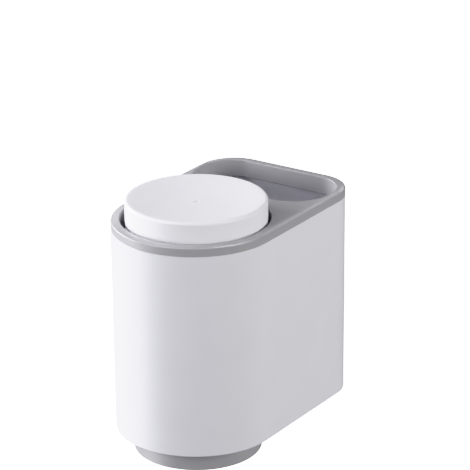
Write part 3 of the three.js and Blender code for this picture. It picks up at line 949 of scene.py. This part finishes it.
def texture(tree, kind, size):
    """A texture whose features are about a given size in metres."""
    coords = tree.nodes.new("ShaderNodeTexCoord")
    node = tree.nodes.new(kind)
    node.inputs["Scale"].default_value = 1 / size
    tree.links.new(coords.outputs["Object"], node.inputs["Vector"])
    return node


def noise(tree, size, detail=NOISE_DETAIL):
    node = texture(tree, "ShaderNodeTexNoise", size)
    node.inputs["Detail"].default_value = detail
    return node.outputs["Fac"]


def shade(colour, factor):
    return (colour[0] * factor, colour[1] * factor, colour[2] * factor, 1)


def tint(tree, shader, source, colour, shades, places=NOISE_MIDDLE):
    """Colours the surface, between two shades of a colour that are reached at places of the source."""
    node = tree.nodes.new("ShaderNodeValToRGB")
    for element, factor, place in zip(node.color_ramp.elements, shades, places):
        element.position = place
        element.color = shade(colour, factor)
    tree.links.new(source, node.inputs["Fac"])
    tree.links.new(node.outputs["Color"], shader.inputs["Base Color"])


def uneven_gloss(tree, shader, source, roughness, shares):
    """Varies the roughness over the middle range of a noise."""
    node = tree.nodes.new("ShaderNodeMapRange")
    node.inputs["From Min"].default_value = NOISE_MIDDLE[0]
    node.inputs["From Max"].default_value = NOISE_MIDDLE[1]
    node.inputs["To Min"].default_value = roughness * shares[0]
    node.inputs["To Max"].default_value = roughness * shares[1]
    tree.links.new(source, node.inputs["Value"])
    tree.links.new(node.outputs["Result"], shader.inputs["Roughness"])


def relief(tree, shader, source, depth):
    """Raises and lowers the surface a little."""
    node = tree.nodes.new("ShaderNodeBump")
    node.inputs["Distance"].default_value = depth
    tree.links.new(source, node.inputs["Height"])
    tree.links.new(node.outputs["Normal"], shader.inputs["Normal"])


def moulded(name, colour, roughness, grain, depth, lustre=PLASTIC_LUSTRE):
    """Moulded plastic: faint flow marks in its colour and gloss, and a fine grain from the mould."""
    material, tree, shader = new_material(name)
    tint(tree, shader, noise(tree, FLOW_SIZE, FLOW_DETAIL), colour, FLOW_SHADES)
    uneven_gloss(tree, shader, noise(tree, PLASTIC_GLOSS_SIZE), roughness, PLASTIC_GLOSS)
    relief(tree, shader, noise(tree, grain), depth)
    shader.inputs["Specular IOR Level"].default_value = lustre
    return material


def metal(name, colour, roughness, grain):
    """Plated or rolled metal with a fine uneven finish."""
    material, tree, shader = new_material(name)
    tint(tree, shader, noise(tree, PLATING_SIZE, PLATING_DETAIL), colour, PLATING_SHADES)
    uneven_gloss(tree, shader, noise(tree, METAL_GLOSS_SIZE), roughness, METAL_GLOSS)
    relief(tree, shader, noise(tree, grain), METAL_GRAIN_DEPTH)
    shader.inputs["Metallic"].default_value = 1
    return material


def foam(name, colour):
    """Foam tape: open cells that show as small pits, with painted shade that darkens each pit towards its
    deepest middle.
    """
    material, tree, shader = new_material(name)
    cells = texture(tree, "ShaderNodeTexVoronoi", FOAM_CELL).outputs["Distance"]
    # Painted shade: the colour darkens towards each cell's middle, where the bump makes the pit deepest
    tint(tree, shader, cells, colour, FOAM_PIT_PAINTED_SHADE, places=(0, 1))
    relief(tree, shader, cells, FOAM_CELL_DEPTH)
    shader.inputs["Roughness"].default_value = FOAM_ROUGHNESS
    return material


# Studio
def away(azimuth, elevation):
    """The direction from the part to a place, turned to the right from the front and then raised."""
    flat = math.cos(elevation)
    return Vector((math.sin(azimuth) * flat, -math.cos(azimuth) * flat, math.sin(elevation)))


def camera():
    back = away(CAMERA_AZIMUTH, CAMERA_ELEVATION)
    level = Vector((math.cos(CAMERA_AZIMUTH), math.sin(CAMERA_AZIMUTH), 0))
    upright = back.cross(level)
    right = level * math.cos(CAMERA_ROLL) + upright * math.sin(CAMERA_ROLL)
    up = upright * math.cos(CAMERA_ROLL) - level * math.sin(CAMERA_ROLL)
    aim = Vector((0, AXIS_Y + AIM_FROM_AXIS, UNDERSIDE + AIM_HEIGHT)) + right * AIM_ACROSS + up * AIM_UP
    place = aim + back * CAMERA_DISTANCE
    data = bpy.data.cameras.new("photo_view")
    data.sensor_width = CAMERA_SENSOR
    data.lens = CAMERA_LENS
    data.clip_end = CAMERA_REACH
    view = bpy.data.objects.new("photo_view", data)
    view.matrix_world = Matrix(
        (
            (right.x, up.x, back.x, place.x),
            (right.y, up.y, back.y, place.y),
            (right.z, up.z, back.z, place.z),
            (0, 0, 0, 1),
        )
    )
    bpy.context.scene.collection.objects.link(view)
    bpy.context.scene.camera = view


def softbox(name, turn, elevation, energy, colour=WHITE, size=LIGHT_SIZE):
    """A round light that looks at the part, at degrees to the right of the camera and above the part."""
    back = away(CAMERA_AZIMUTH + math.radians(turn), math.radians(elevation))
    data = bpy.data.lights.new(name, "AREA")
    data.shape = "DISK"
    data.size = size
    data.color = colour
    data.energy = energy
    light = bpy.data.objects.new(name, data)
    light.location = Vector((0, AXIS_Y, UNDERSIDE + AIM_HEIGHT)) + back * LIGHT_DISTANCE
    light.rotation_mode = "QUATERNION"
    light.rotation_quaternion = (-back).to_track_quat("-Z", "Y")
    bpy.context.scene.collection.objects.link(light)
    return light


def glint(name, *place, **look):
    """A softbox that shows only in reflections."""
    light = softbox(name, *place, **look)
    light.visible_diffuse = False
    light.visible_camera = False


def floor():
    """A pale floor well under the part, which the camera sees as white."""
    bm = bmesh.new()
    z = boss_low.z - FLOOR_DROP
    bm.faces.new([bm.verts.new((x, y, z)) for x, y in square_corners(FLOOR_SIZE / 2, FLOOR_SIZE / 2)])
    plane = made("studio_floor", bm)
    material, _, shader = new_material("pale_floor")
    shader.inputs["Base Color"].default_value = shade(WHITE, FLOOR_SHADE)
    shader.inputs["Roughness"].default_value = FLOOR_ROUGHNESS
    shader.inputs["Emission Color"].default_value = shade(WHITE, 1)
    shader.inputs["Emission Strength"].default_value = FLOOR_GLOW
    plane.data.materials.append(material)
    plane.visible_diffuse = False
    plane.visible_glossy = False
    plane.visible_shadow = False


def tone_curve():
    """Softens the brightest tones and deepens the darkest ones a little, as the photograph does."""
    settings = bpy.context.scene.view_settings
    settings.view_transform = "Standard"
    settings.use_curve_mapping = True
    mapping = settings.curve_mapping
    mapping.white_level = (TONE_WHITE, TONE_WHITE, TONE_WHITE)
    mapping.extend = "HORIZONTAL"
    blue = [(light / TONE_WHITE, lifted / TONE_WHITE) for light, lifted in TONE_BLUE_LOW + TONE_BLUE_HIGH]
    every_channel = [(light / TONE_WHITE, shown) for light, shown in TONE_TOE + TONE_SHOULDER]
    for curve, points in ((BLUE_CURVE, blue), (EVERY_CHANNEL_CURVE, every_channel)):
        for place, shown in points:
            mapping.curves[curve].points.new(place, shown).handle_type = "AUTO_CLAMPED"
    mapping.update()


def studio():
    tone_curve()
    world = bpy.data.worlds.new("studio")
    world.use_nodes = True
    background = world.node_tree.nodes["Background"]
    background.inputs["Color"].default_value = shade(WHITE, 1)
    background.inputs["Strength"].default_value = AMBIENT
    bpy.context.scene.world = world
    floor()
    softbox("key_back_left", *KEY_BACK_LEFT, COOL)
    softbox("fill_left", *FILL_LEFT, COOL)
    softbox("fill_front_left", *FILL_FRONT_LEFT, COOL)
    softbox("top_left", *TOP_LEFT, COOL)
    softbox("low_left", *LOW_LEFT, COOL)
    softbox("fill_right", *FILL_RIGHT)
    glint("glint_right", *GLINT_RIGHT, size=GLINT_SIZE)
    glint("glint_back_right", *GLINT_BACK_RIGHT, size=GLINT_SIZE)
    glint("glint_back_left", *GLINT_BACK_LEFT, size=GLINT_SIZE)
    glint("glint_low_left", *GLINT_LOW_LEFT, colour=COOL)


camera()
studio()
shell_white = moulded("shell_plastic_white", SHELL_COLOUR, SHELL_ROUGHNESS, SHELL_GRAIN, SHELL_GRAIN_DEPTH)
cup_white = moulded("cup_plastic_white", CUP_COLOUR, CUP_ROUGHNESS, CUP_GRAIN, CUP_GRAIN_DEPTH)
tray_grey = moulded(
    "tray_plastic_grey", TRAY_COLOUR, TRAY_ROUGHNESS, TRAY_GRAIN, TRAY_GRAIN_DEPTH, TRAY_LUSTRE
)
plate_white = moulded("plate_plastic_pale", PLATE_COLOUR, PLATE_ROUGHNESS, SHELL_GRAIN, SHELL_GRAIN_DEPTH)
bright_steel = metal("steel_bright", STEEL_COLOUR, STEEL_ROUGHNESS, STEEL_GRAIN)
nickel = metal("magnet_nickel", NICKEL_COLOUR, NICKEL_ROUGHNESS, NICKEL_GRAIN)
tape = foam("foam_tape_white", FOAM_COLOUR)

outer_shell(shell_white)
top_tray(tray_grey)
base_boss(tray_grey)
magnets(nickel)
steel_discs(bright_steel)
screws(bright_steel)
cup_body(cup_white)
cup_base_cap(cup_white)
wall_plate(plate_white)
adhesive_pad(tape)
